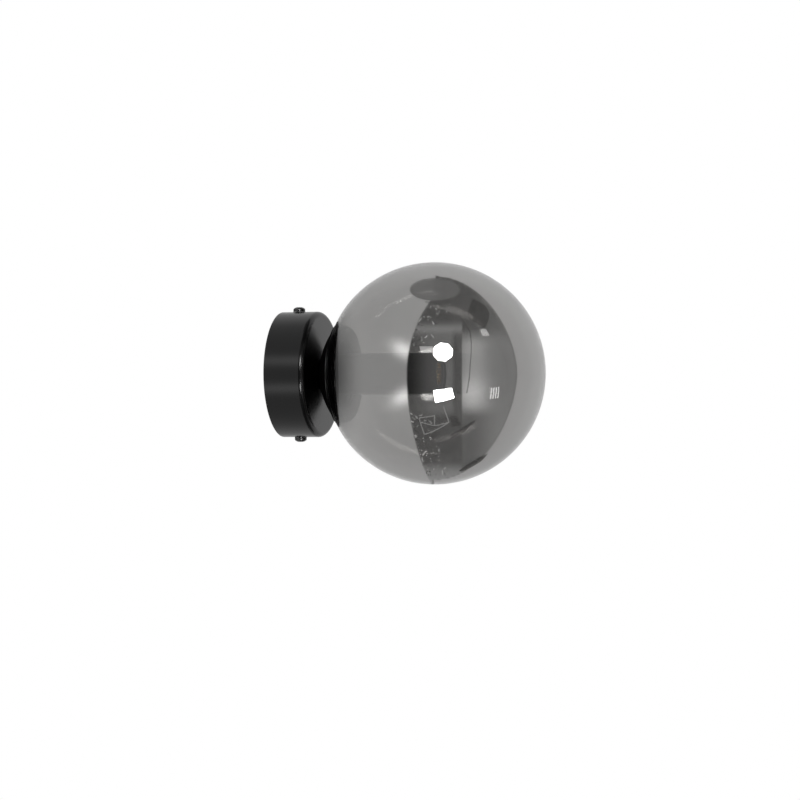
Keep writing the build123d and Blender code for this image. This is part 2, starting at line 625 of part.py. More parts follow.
def lampholder_core():
    """Moulded core: a pocket for the screw shell, a contact chamber and two terminal pockets."""
    mouth = SHELL_OUTER + SHELL_CLEARANCE
    core = turned_polygon(
        (0, CORE_BACK), (CORE_RADIUS - 0.6, CORE_BACK), (CORE_RADIUS, CORE_BACK + 0.6),
        (CORE_RADIUS, CORE_END - 0.4), (CORE_RADIUS - 0.4, CORE_END), (mouth + 1.2, CORE_END),
        (mouth, SHELL_END), (mouth, SHELL_BACK), (CHAMBER_RADIUS, SHELL_BACK),
        (CHAMBER_RADIUS, CHAMBER_BACK), (0, CHAMBER_BACK))
    half = CONTACT_WIDTH / 2 + 0.3
    inner_x, outer_x = STRIP_X - CONTACT_SHEET / 2 - 0.1, TERMINAL_OFFSET + WIRE_DIAMETER / 2 + 0.2
    for side in (-1, 1):
        core -= block(sorted((side * inner_x, side * outer_x)), (-half, half),
                      (CORE_BACK - 1, WIRE_END + 1))
        strip_out = STRIP_X + CONTACT_SHEET / 2 + 0.1
        core -= block(sorted((side * inner_x, side * strip_out)), (-half, half),
                      (CORE_BACK - 1, CHAMBER_BACK + 0.5))
        core -= terminal_rod(HOLDER_SCREW_DIAMETER / 2 + TAPPED_CLEARANCE, side,
                             TERMINAL_OFFSET, CORE_RADIUS + 1)
        core -= terminal_rod(HOLDER_HEAD_DIAMETER / 2 + 0.2, side, holder_head_seat(),
                             CORE_RADIUS + 1)
    leg_out = sqrt(SLEEVE_BORE ** 2 - (STIRRUP_WIDTH / 2) ** 2) - 0.15
    leg_slot = STIRRUP_WIDTH / 2 + 0.15
    return core - block((-leg_slot, leg_slot), (-SLEEVE_BORE - 1, -leg_out + STIRRUP_SHEET),
                        (CORE_BACK - 1, CORE_BACK + STIRRUP_GRIP))


def terminal_rod(radius, side, start, end):
    """A rod along X at the depth of the holder's terminal screws, on one side of the axis."""
    depth = CORE_BACK + TERMINAL_DEPTH / 2
    place = Plane(origin=(side * start, -depth, 0), x_dir=(0, 1, 0), z_dir=(side, 0, 0))
    return extrude(place * Circle(radius), end - start)


def holder_head_seat():
    """X at which the head of a holder screw rests in the core."""
    return CORE_RADIUS - HOLDER_HEAD_HEIGHT - 0.3


def holder_screws():
    """Two small screws that clamp the wires against the contacts."""
    tip = TERMINAL_OFFSET + WIRE_DIAMETER / 2 + TAPPED_CLEARANCE
    screws = []
    for side in (-1, 1):
        seat = holder_head_seat()
        screw = (terminal_rod(HOLDER_SCREW_DIAMETER / 2, side, tip, seat + 0.1)
                 + terminal_rod(HOLDER_HEAD_DIAMETER / 2, side, seat, seat + HOLDER_HEAD_HEIGHT))
        slot_depth = CORE_BACK + TERMINAL_DEPTH / 2
        slot = Pos(side * (seat + HOLDER_HEAD_HEIGHT), -slot_depth, 0) * Box(
            HOLDER_HEAD_HEIGHT, 0.6, HOLDER_HEAD_DIAMETER * 1.2)
        screws.append(screw - slot)
    return Compound(children=screws)


def lamp_shell():
    """Metal screw shell of the lamp socket: a thin cup with a hole in its floor."""
    floor = SHELL_BACK + SHELL_WALL
    return turned_polygon(
        (SHELL_INNER * 0.6, SHELL_BACK), (SHELL_OUTER, SHELL_BACK), (SHELL_OUTER, SHELL_END),
        (SHELL_INNER, SHELL_END), (SHELL_INNER, floor), (SHELL_INNER * 0.6, floor))


def contact_strip(side, points):
    """A bent contact strip of one width through points (x, depth), mirrored to its side."""
    path = Polyline(*[(side * x, -depth) for x, depth in points])
    return extrude(trace(path, CONTACT_SHEET), CONTACT_WIDTH / 2, both=True)


def live_contact():
    """Springy strip from the live terminal to a nose on the lamp's axis."""
    return contact_strip(-1, [
        (STRIP_X, CORE_BACK + 1), (STRIP_X, CHAMBER_BACK + 2.0),
        (-STRIP_X * 0.6, CHAMBER_BACK + 2.8), (0.8, SHELL_BACK + SHELL_WALL - 0.1)])


def neutral_contact():
    """Strip from the neutral terminal to the floor of the screw shell."""
    return contact_strip(1, [
        (STRIP_X, CORE_BACK + 1), (STRIP_X, SHELL_BACK - 1.6),
        (CHAMBER_RADIUS - 0.9, SHELL_BACK - CONTACT_SHEET / 2 - 0.05)])


# ---- globe -----------------------------------------------------------------------------------

def mouth_back():
    """Depth of the outer edge of the glass opening."""
    return neck_depth(0, GLASS_MOUTH)


def flange_radius():
    """Outer radius of the ring's flange."""
    return RING_OUTER + RING_FLANGE


def flange_back():
    """Where the flange's back lies, as a distance outside the glass: inside it, so negative."""
    return -(GLASS_WALL + GLASS_GAP + SEAL_WALL)


def ring_back():
    """Depth of the ring's back end, just behind the glass."""
    return mouth_back() - 0.2


def ring_front():
    """Depth of the ring's front, where its flange leaves the bore."""
    return neck_depth(flange_back() - RING_WALL, RING_BORE)


def globe_ring():
    """Ring with the inner thread. Its flange lies inside the glass and follows the shoulder."""
    back, under = ring_back(), flange_back()
    over = under - RING_WALL
    tip, edge = neck_end(under, flange_radius(), over)
    return turned(
        line((RING_BORE, back), (RING_OUTER, back)),
        line((RING_OUTER, back), (RING_OUTER, neck_depth(under, RING_OUTER))),
        neck_arc(under, RING_OUTER, flange_radius()),
        edge,
        neck_arc(over, tip, RING_BORE),
        line((RING_BORE, ring_front()), (RING_BORE, back)))


def glass_seal():
    """Silicone lining of the glass opening, turned out under the ring's flange."""
    under, over = -(GLASS_WALL + GLASS_GAP), flange_back() + BOND_GAP
    tip, edge = neck_end(under, flange_radius() - 0.3, over)
    return turned(
        line((SEAL_INNER, mouth_back()), (SEAL_OUTER, mouth_back())),
        line((SEAL_OUTER, mouth_back()), (SEAL_OUTER, neck_depth(under, SEAL_OUTER))),
        neck_arc(under, SEAL_OUTER, flange_radius() - 0.3),
        edge,
        neck_arc(over, tip, SEAL_INNER),
        line((SEAL_INNER, neck_depth(over, SEAL_INNER)), (SEAL_INNER, mouth_back())))


def glass_globe():
    """Blown ball whose shoulder turns in more tightly to the opening at its back."""

    def ball_arc(radius):
        """Arc from the shoulder round the ball to its front pole."""
        angles = (NECK_TURN, (NECK_TURN + radians(180)) / 2)
        points = [corner(radius * sin(a), GLOBE_CENTRE - radius * cos(a)) for a in angles]
        return ThreePointArc(*points, corner(0, GLOBE_CENTRE + radius))

    outer, inner = ball_arc(GLOBE_RADIUS), ball_arc(GLOBE_INNER)
    neck_out = neck_arc(0, GLASS_MOUTH, GLOBE_RADIUS * sin(NECK_TURN))
    neck_in = neck_arc(-GLASS_WALL, GLASS_MOUTH, GLOBE_INNER * sin(NECK_TURN))
    return turned(
        neck_out, outer, Line(outer @ 1, inner @ 1), inner, neck_in,
        Line(neck_in @ 0, neck_out @ 0))


# ---- write every sub-part --------------------------------------------------------------------

PARTS = {
    "wall_bracket": wall_bracket,
    "earth_screw": earth_screw,
    "earth_tag": earth_tag,
    "canopy": canopy,
    "top_cover_screw": lambda: cover_screw(1),
    "bottom_cover_screw": lambda: cover_screw(-1),
    "terminal_block": terminal_block,
    "terminal_tubes": terminal_tubes,
    "terminal_screws": terminal_screws,
    "block_screw": block_screw,
    "live_wire": live_wire,
    "neutral_wire": neutral_wire,
    "earth_wire": earth_wire,
    "nipple": nipple,
    "rear_locknut": lambda: hex_nut(REAR_NUT_BACK),
    "rear_washer": rear_washer,
    "globe_dish": globe_dish,
    "dish_spacer": lambda: tube(SPACER_DIAMETER / 2, NUT_BORE, DISH_FLOOR, CARRIER_BACK),
    "globe_carrier": globe_carrier,
    "front_locknut": lambda: hex_nut(CARRIER_FLOOR),
    "holder_stirrup": holder_stirrup,
    "lampholder_core": lampholder_core,
    "lamp_shell": lamp_shell,
    "live_contact": live_contact,
    "neutral_contact": neutral_contact,
    "holder_screws": holder_screws,
    "candle_sleeve": candle_sleeve,
    "glass_seal": glass_seal,
    "globe_ring": globe_ring,
    "glass_globe": glass_globe,
}

os.makedirs("parts", exist_ok=True)
for node, make in PARTS.items():
    export_step(make(), f"parts/{node}.step")
print("wrote", len(PARTS), "sub-parts")
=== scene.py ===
# %% [markdown]
# # A globe wall light: satin black metal, smoked mirror glass and a lampholder
#
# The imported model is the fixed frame. Its pieces already have their real size and place, in
# metres, with +Z up and -Y out of the wall. This lesson gives each of them its finish, and makes
# anew the few whose shapes need more than the plain solids hold: the blown globe, in which every
# facet would show, and the pieces whose rolled or cut threads are seen once the lamp is opened.

# %% Load the frame
import json
import math

import bmesh
import bpy
import numpy as np
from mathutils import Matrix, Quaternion, Vector


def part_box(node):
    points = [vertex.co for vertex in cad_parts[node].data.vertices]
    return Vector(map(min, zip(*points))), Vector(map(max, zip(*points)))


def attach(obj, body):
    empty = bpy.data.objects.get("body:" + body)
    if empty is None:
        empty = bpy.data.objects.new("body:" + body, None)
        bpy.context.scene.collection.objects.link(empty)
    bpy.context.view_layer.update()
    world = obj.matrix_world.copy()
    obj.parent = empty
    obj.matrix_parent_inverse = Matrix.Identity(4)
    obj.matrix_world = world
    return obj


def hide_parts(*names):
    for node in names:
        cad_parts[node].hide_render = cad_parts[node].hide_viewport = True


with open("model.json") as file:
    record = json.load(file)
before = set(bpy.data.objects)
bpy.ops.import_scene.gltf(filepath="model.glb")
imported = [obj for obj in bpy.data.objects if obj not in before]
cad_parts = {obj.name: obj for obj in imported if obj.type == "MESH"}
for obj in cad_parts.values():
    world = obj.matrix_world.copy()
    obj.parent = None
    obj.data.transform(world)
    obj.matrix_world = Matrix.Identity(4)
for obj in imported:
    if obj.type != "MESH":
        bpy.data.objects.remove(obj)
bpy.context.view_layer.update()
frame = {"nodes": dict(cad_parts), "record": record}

nodes = frame["nodes"]
MM = 0.001

# %% [markdown]
# ## Sizes read from the frame
#
# A new piece has to sit where the old one sat. Each size below comes from a node's box, so that
# the looks follow the construction. Depth is the distance out of the wall, so it is minus y.


# %% Depths and radii of the turned nodes
def reach(node):
    """A node's back depth, front depth and outer radius, from its box."""
    low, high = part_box(node)
    return -high.y, -low.y, max(high.x, high.z)


GLOBE_RADIUS = reach("glass_globe")[2]
GLOBE_CENTRE = reach("glass_globe")[1] - GLOBE_RADIUS
GLOBE_PLACE = Vector((0, -GLOBE_CENTRE, 0))
print("globe radius", round(GLOBE_RADIUS / MM, 2), "centre at depth", round(GLOBE_CENTRE / MM, 2))

# %% [markdown]
# ## The camera
#
# The lamp is seen from its side, a little from the front. The distance and the lens give the
# globe its size in the picture, and one more turn puts its centre on the pixel where it lies.
# That turn keeps the perspective, where a shifted lens would not.

# %% Place the camera
PICTURE = 800
GLOBE_PIXEL = (434.6, 373.4)
VIEW_AZIMUTH, VIEW_ELEVATION, VIEW_ROLL = 284.93, 0.42, 0.6
VIEW_DISTANCE = 1.203
LENS, SENSOR = 85.8, 36.0


def direction(azimuth, elevation):
    """Unit vector from the lamp towards a viewer: azimuth 0 stands in front of the wall."""
    a, e = math.radians(azimuth), math.radians(elevation)
    return Vector((math.sin(a) * math.cos(e), -math.cos(a) * math.cos(e), math.sin(e)))


def add_camera():
    """A camera whose line of sight to the globe passes through the globe's pixel."""
    data = bpy.data.cameras.new("camera")
    data.lens, data.sensor_width = LENS, SENSOR
    data.clip_start, data.clip_end = 0.05, 50
    camera = bpy.data.objects.new("camera", data)
    bpy.context.scene.collection.objects.link(camera)
    bpy.context.scene.camera = camera
    pixels = PICTURE * LENS / SENSOR
    ray = Vector(((GLOBE_PIXEL[0] - PICTURE / 2) / pixels,
                  (PICTURE / 2 - GLOBE_PIXEL[1]) / pixels, -1)).normalized()
    towards = -direction(VIEW_AZIMUTH, VIEW_ELEVATION)
    look = towards.to_track_quat("-Z", "Y") @ ray.rotation_difference(Vector((0, 0, -1)))
    camera.rotation_mode = "QUATERNION"
    camera.rotation_quaternion = Quaternion(towards, math.radians(VIEW_ROLL)) @ look
    camera.location = GLOBE_PLACE - VIEW_DISTANCE * towards
    return camera


camera = add_camera()
print("camera at", [round(v, 3) for v in camera.location])

# %% [markdown]
# ## Arithmetic on shader nodes
#
# A finish is easier to read as a formula than as a list of links. This small class wraps one
# output of a node, and Python's operators on it add Math nodes. The second class is a material
# with one Principled shader: values that are the same all over go straight on its sockets.


# %% Sockets and finishes
class Signal:
    """One number or colour that varies over a surface, with Python's arithmetic."""

    def __init__(self, finish, socket):
        self.finish, self.socket = finish, socket

    def _math(self, operation, first, second):
        return self.finish.node("Math", {"operation": operation}, {0: first, 1: second})

    def __add__(self, other):
        return self._math("ADD", self, other)

    def __sub__(self, other):
        return self._math("SUBTRACT", self, other)

    def __rsub__(self, other):
        return self._math("SUBTRACT", other, self)

    def __mul__(self, other):
        return self._math("MULTIPLY", self, other)

    def __gt__(self, other):
        return self._math("GREATER_THAN", self, other)

    __radd__, __rmul__ = __add__, __mul__


class Finish:
    """A material made of nodes round one Principled shader."""

    def __init__(self, name, **plain):
        self.material = bpy.data.materials.new(name)
        self.material.use_nodes = True
        self.tree = self.material.node_tree
        self.shader = self.tree.nodes["Principled BSDF"]
        self.feed(self.shader, {key.replace("_", " "): value for key, value in plain.items()})

    def feed(self, node, inputs):
        """Sets a node's sockets: a Signal is linked, anything else is a plain value."""
        for key, value in inputs.items():
            socket = node.inputs[key]
            if isinstance(value, Signal):
                self.tree.links.new(value.socket, socket)
            else:
                socket.default_value = (*value, 1) if socket.type == "RGBA" else value

    def node(self, kind, settings=None, inputs=None, output=0):
        """Adds one node: its type, its settings, then the values or links of its sockets."""
        made = self.tree.nodes.new("ShaderNode" + kind)
        for key, value in (settings or {}).items():
            setattr(made, key, value)
        self.feed(made, inputs or {})
        return Signal(self, made.outputs[output])

    def grain(self, scale, detail=2.0, stretch=(1, 1, 1)):
        """Noise from 0 to 1 on Object coordinates, finer along the axes with a large stretch."""
        place = self.node("TexCoord", output="Object")
        place = self.node("Mapping", None, {"Vector": place, "Scale": stretch})
        return self.node("TexNoise", None, {"Vector": place, "Scale": scale, "Detail": detail})

    def tint(self, mask, low, high):
        """A colour between two, by a mask from 0 to 1. Sockets 6 and 7 are a Mix node's colours."""
        return self.node("Mix", {"data_type": "RGBA"}, {0: mask, 6: low, 7: high}, output=2)

    def wear(self, **varying):
        """Links what varies over the surface to the shader's sockets."""
        self.feed(self.shader, {key.replace("_", " "): value for key, value in varying.items()})
        return self

    def relief(self, height, depth, strength=1.0):
        """Raises the surface by a height from 0 to 1, depth metres at most."""
        bump = self.node("Bump", None,
                         {"Height": height, "Distance": depth, "Strength": strength})
        return self.wear(Normal=bump)


# %% [markdown]
# ## Coats and plastics
#
# Powder coat is a paint baked from dust: black, satin, and with a very fine orange peel that
# softens every reflection. Moulded plastic is smoother and takes longer highlights. A picture of
# either would show its seams from near by, so both are made of noise on Object coordinates: a
# fine one for the skin and, on the coat, a slow one for its cloudiness. The earth wire is told
# from the others by the yellow stripe on its green insulation.


# %% Black coats and plastics
PEEL_DEPTH, SKIN_DEPTH = 0.02 * MM, 0.01 * MM
PEEL, CLOUD = (1400, 3), (60, 2)  # each noise's scale for a metre, and its detail


def swinging(middle, *swings):
    """A value about its middle, which each mask from 0 to 1 moves by its own share."""
    for share, mask in swings:
        middle = middle + share * (mask - 0.5)
    return middle


def scaled(colour, share):
    """A colour made darker or lighter."""
    return tuple(share * channel for channel in colour)


def powder_coat(name, colour, roughness, gloss=0.5):
    """Satin black powder coat with a fine orange peel."""
    finish = Finish(name, IOR=1.5, Specular_IOR_Level=gloss)
    peel, cloud = finish.grain(*PEEL), finish.grain(*CLOUD)
    finish.wear(Base_Color=finish.tint(cloud, scaled(colour, 0.8), scaled(colour, 1.25)),
                Roughness=swinging(roughness, (0.08, peel), (0.06, cloud)))
    return finish.relief(peel, PEEL_DEPTH, 0.35)


def moulded(name, colour, roughness, scale=500):
    """Moulded plastic: one colour, with the faint unevenness of the mould's skin."""
    finish = Finish(name, IOR=1.48)
    skin = finish.grain(scale, 4)
    finish.wear(Base_Color=finish.tint(skin, scaled(colour, 0.9), colour),
                Roughness=swinging(roughness, (0.1, skin)))
    return finish.relief(skin, SKIN_DEPTH, 0.4)


# %% The earth wire's stripe
STRIPE_ABOVE = 0.2 * MM
LEVEL_HEIGHT = -8.0 * MM
STEEP_SLOPE, STEEP_HEIGHT = 1.26, 2.7 * MM
GENTLE_SLOPE, GENTLE_HEIGHT = 0.364, -2.2 * MM


def striped(name, colour, stripe):
    """Insulation with a stripe along its upper side, just above the wire's middle line.

    Seen from the wall that line has a level, a steep and a gentle part, each of height
    h - slope x. Its own height is the lower of the gentle part and the higher of the others."""
    finish = Finish(name, IOR=1.48, Roughness=0.36)
    place = finish.node("TexCoord", output="Object")
    x = finish.node("SeparateXYZ", None, {"Vector": place}, output="X")
    z = finish.node("SeparateXYZ", None, {"Vector": place}, output="Z")
    steep, gentle = STEEP_HEIGHT - STEEP_SLOPE * x, GENTLE_HEIGHT - GENTLE_SLOPE * x
    higher = finish.node("Math", {"operation": "MAXIMUM"}, {0: LEVEL_HEIGHT, 1: steep})
    middle = finish.node("Math", {"operation": "MINIMUM"}, {0: higher, 1: gentle})
    return finish.wear(Base_Color=finish.tint(z - middle > STRIPE_ABOVE, colour, stripe))


# %% [markdown]
# ## Metals
#
# Zinc plate is a dull grey metal with fine scratches, brass is warmer and cleaner, and the cover
# screws are blackened, darker and smoother than the coat round them. A metal of one flat value
# looks like paint, so a slow noise mottles its colour and its roughness, as on a real batch, and
# a noise that is stretched along one axis adds the scratches.


# %% Plated and blackened metal
SCRATCH_DEPTH, OXIDE_DEPTH = 0.02 * MM, 0.01 * MM
MOTTLE, SCRATCH, OXIDE = (180, 4), (900, 3), (700, 3)


def plated(name, colour, shade, roughness, stretch=(1, 1, 1)):
    """Plated or rolled metal: a mottled colour and fine scratches along one direction."""
    finish = Finish(name, Metallic=1.0)
    mottle, scratch = finish.grain(*MOTTLE), finish.grain(*SCRATCH, stretch)
    finish.wear(Base_Color=finish.tint(mottle, shade, colour),
                Roughness=swinging(roughness, (0.16, mottle), (0.12, scratch)))
    return finish.relief(scratch, SCRATCH_DEPTH, 0.3)


def black_oxide(name, shade, colour, roughness):
    """Blackened steel: part metal and part oxide, so that it keeps a soft dark shine."""
    finish = Finish(name, Metallic=0.35, IOR=1.6)
    mottle = finish.grain(*OXIDE)
    finish.wear(Base_Color=finish.tint(mottle, shade, colour),
                Roughness=swinging(roughness, (0.1, mottle)))
    return finish.relief(mottle, OXIDE_DEPTH, 0.3)


# %% [markdown]
# ## Smoked mirror glass
#
# The globe is clear glass under a vapour-thin metal film, which sends back about a fifth of the
# light and lets less than a quarter through. One Principled shader can do both: its metallic
# share mirrors, its transmission share lets light pass, and the base colour tints them. Every
# value is the same all over, so each stays a plain number.

# %% Glass
GLASS_FILM = 0.295
GLASS_TINT = (0.48, 0.476, 0.469)


def mirror_glass(name):
    """Smoked glass with a half-mirror film."""
    return Finish(name, Base_Color=GLASS_TINT, Metallic=GLASS_FILM, Roughness=0.0,
                  IOR=1.5, Transmission_Weight=1.0)


# %% [markdown]
# ## One finish for each material slot
#
# The record says which slot every node takes its finish from. Finishes could be set node by
# node, but pieces of one slot come out of one bath or one mould, so each slot has one finish
# that all its pieces share. The canopy and the dish are deep black with little gloss: only
# their edges and what is seen at a low angle catch the light.

# %% Give every node its finish
FINISHES = {
    "canopy_black": powder_coat("canopy_black", (0.002, 0.002, 0.0021), 0.2, gloss=0.24),
    "dish_black": powder_coat("dish_black", (0.002, 0.002, 0.002), 0.4, gloss=0.1),
    "screw_black": black_oxide("screw_black", (0.006, 0.006, 0.0065), (0.014, 0.014, 0.0145), 0.24),
    "smoked_glass": mirror_glass("smoked_glass"),
    "sleeve_black": moulded("sleeve_black", (0.014, 0.014, 0.015), 0.32),
    "core_black": moulded("core_black", (0.02, 0.02, 0.021), 0.5),
    "contact_brass": plated("contact_brass", (0.8, 0.62, 0.32), (0.66, 0.47, 0.22), 0.26),
    "zinc_steel": plated("zinc_steel", (0.66, 0.67, 0.69), (0.5, 0.51, 0.52), 0.36, (1, 1, 6)),
    "carrier_black": powder_coat("carrier_black", (0.016, 0.016, 0.0165), 0.42),
    "seal_clear": moulded("seal_clear", (0.05, 0.05, 0.05), 0.45),
    "block_white": moulded("block_white", (0.82, 0.81, 0.77), 0.42, 300),
    "wire_brown": moulded("wire_brown", (0.2, 0.09, 0.045), 0.36),
    "wire_blue": moulded("wire_blue", (0.04, 0.14, 0.42), 0.36),
    "wire_green": striped("wire_green", (0.06, 0.3, 0.05), (0.75, 0.56, 0.04)),
}
slots = {row["node"]: row["material_slot"] for row in frame["record"]["subparts"]}
for node, piece in nodes.items():
    piece.data.materials.clear()
    piece.data.materials.append(FINISHES[slots[node]].material)
print("finishes:", len(FINISHES), "on", len(nodes), "nodes")

# %% [markdown]
# ## Surfaces from arrays
#
# A turned piece is a profile of points (radius, depth) carried round the wall's normal. numpy
# works out all the points at once, as a grid with one row for each point of the profile and
# one column for each step round. Faces join neighbours in the grid. A profile that ends on the
# axis leaves a pole, whose points are merged so that the surface is closed.


# %% Helpers for turned surfaces
WELD = 1e-7
SHARP_EDGE = math.radians(35)


def grid_faces(rows, columns, close_rows):
    """Quads between neighbours of a rows x columns grid whose columns run right round."""
    i = np.arange(rows if close_rows else rows - 1)[:, None]
    j = np.arange(columns)[None, :]
    down, right = (i + 1) % rows, (j + 1) % columns
    quads = [i * columns + j, down * columns + j, down * columns + right, i * columns + right]
    return np.stack(np.broadcast_arrays(*quads), -1).reshape(-1, 4)


def add_piece(name, points, faces, slot, body):
    """A closed mesh object from points and faces, with its finish, riding on a body."""
    mesh = bpy.data.meshes.new(name)
    mesh.from_pydata(points.tolist(), [], [list(face) for face in faces])
    work = bmesh.new()
    work.from_mesh(mesh)
    bmesh.ops.remove_doubles(work, verts=work.verts, dist=WELD)
    bmesh.ops.recalc_face_normals(work, faces=work.faces)
    work.to_mesh(mesh)
    work.free()
    mesh.polygons.foreach_set("use_smooth", np.ones(len(mesh.polygons), bool))
    mesh.set_sharp_from_angle(angle=SHARP_EDGE)
    mesh.materials.append(FINISHES[slot].material)
    piece = bpy.data.objects.new(name, mesh)
    bpy.context.scene.collection.objects.link(piece)
    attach(piece, body)
    print(name, "has", len(mesh.polygons), "faces")
    return piece


def turned(profile, steps, thread=None, closed=True):
    """Points and faces of a profile carried round the Y axis.

    Row i has radius r and depth d: x = r sin(t), y = -d, z = r cos(t), t once round the circle.
    With a thread, its depth at (t, d) times the row's third number is added to the radius."""
    r, d = profile[:, 0, None], profile[:, 1, None]
    t = np.linspace(0, 2 * np.pi, steps, endpoint=False)[None, :]
    if thread is not None:
        r = r + profile[:, 2, None] * thread(t, d)
    points = np.stack([r * np.sin(t), np.broadcast_to(-d, (len(d), steps)), r * np.cos(t)], -1)
    return points.reshape(-1, 3), grid_faces(len(profile), steps, closed)


# %% [markdown]
# ## The blown globe
#
# A mirror shows every flat facet, so the globe is made again as one fine surface of revolution:
# down the outside from the front pole to the opening, round the fire-polished lip, and up the
# inside to the inner pole. Both ends lie on the axis, so the wall is one closed solid. Blown
# glass is not quite a ball: it turns in more tightly at the shoulder round its opening.

# %% Make the globe
GLASS_WALL = 3.0 * MM
GLASS_MOUTH, LIP_ROUND = 24.6 * MM, 0.35 * MM
SHOULDER_TURN = math.radians(45)
SHOULDER_RADIUS = 58.0 * MM
BALL_ROWS, SHOULDER_ROWS, LIP_ROWS, GLOBE_STEPS = 110, 24, 8, 240


def shoulder_centre():
    """Centre (radius, depth) of the shoulder's arc, which touches the ball at SHOULDER_TURN."""
    back = GLOBE_RADIUS - SHOULDER_RADIUS
    return back * math.sin(SHOULDER_TURN), GLOBE_CENTRE - back * math.cos(SHOULDER_TURN)


def shoulder_rows(offset, start, end, rows):
    """Rows (radius, depth) of a surface this far outside the shoulder, between two radii.

    With the arc's centre C and radius R they are C + R (sin a, -cos a), evenly spaced in a."""
    (across, depth), arc = shoulder_centre(), SHOULDER_RADIUS + offset
    a = np.linspace(math.asin((start - across) / arc), math.asin((end - across) / arc), rows)
    return np.stack([across + arc * np.sin(a), depth - arc * np.cos(a)], -1)


def glass_rows(offset):
    """Rows (radius, depth) of the surface this far outside the glass, from pole to opening.

    The ball is C + R (sin a, -cos a), with a from 180 degrees to where the shoulder begins."""
    a, ball = np.linspace(math.pi, SHOULDER_TURN, BALL_ROWS, endpoint=False), GLOBE_RADIUS + offset
    ball_rows = np.stack([ball * np.sin(a), GLOBE_CENTRE - ball * np.cos(a)], -1)
    start = ball * math.sin(SHOULDER_TURN)
    return np.concatenate([ball_rows, shoulder_rows(offset, start, GLASS_MOUTH + LIP_ROUND,
                                                    SHOULDER_ROWS)])


def globe_profile():
    """Outside, fire-polished lip and inside. The lip bulges by a half sine towards the axis."""
    outer = glass_rows(0)
    inner = glass_rows(-GLASS_WALL)[::-1]
    share = np.linspace(0, 1, LIP_ROWS + 2)[1:-1, None]
    lip = outer[-1] * (1 - share) + inner[0] * share
    lip[:, :1] -= LIP_ROUND * np.sin(np.pi * share) ** 0.5
    return np.concatenate([outer, lip, inner])


points, faces = turned(globe_profile(), GLOBE_STEPS, closed=False)
globe = add_piece("blown_globe", points, faces, "smoked_glass", "globe")
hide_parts("glass_globe")

# %% [markdown]
# ## Rolled and cut threads
#
# Three sizes of thread hold this lamp together, and the globe's own thread shows when it comes
# off. A thread is a wave wound round a tube: its depth depends on the place along the axis and
# on the angle, and one full turn moves it on by the pitch. Thin sheet is rolled, which gives
# round crests on both its sides; thick tube and screws are cut, with straight flanks.

# %% Thread shapes
def rolled(pitch):
    """Round thread: depth 0.5 - 0.5 cos(2 pi (d / pitch + t / 2 pi)), 0 on crests, 1 in roots."""
    return lambda t, d: 0.5 - 0.5 * np.cos(2 * np.pi * d / pitch + t)


def cut(pitch):
    """Thread with straight flanks: depth |2 f - 1|, with f the fraction of d / pitch + t / 2 pi."""
    return lambda t, d: np.abs(2 * np.mod(d / pitch + t / (2 * np.pi), 1) - 1)


def outline(corners, spacing=0.2 * MM):
    """Rows (radius, depth, thread depth) on straight runs round closed corners, given in mm.

    A run whose ends both carry thread gets a row at every spacing; the others stay whole."""
    corners = np.array(corners) * MM
    rows = []
    for start, end in zip(corners, np.roll(corners, -1, axis=0)):
        threaded = start[2] != 0 and end[2] != 0
        parts = max(1, round(float(np.hypot(*(end - start)[:2])) / spacing)) if threaded else 1
        rows.append(start + (end - start) * (np.arange(parts) / parts)[:, None])
    return np.concatenate(rows)


# %% [markdown]
# ## Screw shell
#
# The lamp's cap screws into a cup rolled from thin brass, so its thread shows outside as well as
# inside. A wire could be swept round it as a helix, but a wave on the grid keeps the wall one
# thickness and closes by itself. The two collars stay plain, as the rollers leave them.

# %% Make the screw shell
SHELL_WALL, SHELL_THREAD, SHELL_PITCH = 0.4, 0.72, 2.82
BACK_COLLAR, FRONT_COLLAR, COLLAR_FADE = 1.2, 0.8, 1.0
SHELL_HOLE_SHARE, SHELL_STEPS = 0.6, 128


def shell_profile():
    """Corners in mm: both faces of the wall carry the thread; the floor has a round hole."""
    back, front, r = (v / MM for v in reach("lamp_shell"))
    hole, root = SHELL_HOLE_SHARE * (r - SHELL_WALL), -SHELL_THREAD
    outer = [(r, back, 0), (r, back + BACK_COLLAR, 0), (r, back + BACK_COLLAR + COLLAR_FADE, root),
             (r, front - FRONT_COLLAR - COLLAR_FADE, root), (r, front - FRONT_COLLAR, 0),
             (r, front, 0)]
    inner = [(r - SHELL_WALL, max(d, back + SHELL_WALL), depth) for _r, d, depth in outer[::-1]]
    return outline(outer + inner + [(hole, back + SHELL_WALL, 0), (hole, back, 0)])


points, faces = turned(shell_profile(), SHELL_STEPS, rolled(SHELL_PITCH * MM))
piece = add_piece("screw_shell", points, faces, "contact_brass", "root")
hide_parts("lamp_shell")

# %% [markdown]
# ## Carrier
#
# The globe screws on this pressed cup. Its wall is rolled inwards between the crests, so the
# crests keep the cup's full width. Its corner is a quarter circle, as a press leaves it: a
# Bevel modifier could round it too, but would also round the thread.

# %% Make the carrier
GLOBE_THREAD, RING_STEPS = rolled(2.5 * MM), 180
CARRIER_WALL, CARRIER_HOLE, CARRIER_ROOT = 1.0, 5.2, -0.5
OUTER_CORNER, INNER_CORNER, CORNER_ROWS = 1.2, 0.2, 7
FIRST_THREAD, LAST_THREAD, EDGE_BEVEL = 0.5, 0.7, (0.2, 0.3)


def corner(across, depth, radius):
    """Quarter circle in mm about (across, depth), from facing the wall to facing outwards."""
    a = np.radians(np.linspace(0, 90, CORNER_ROWS))
    return np.stack([across + radius * np.sin(a), depth - radius * np.cos(a), 0 * a], -1).tolist()


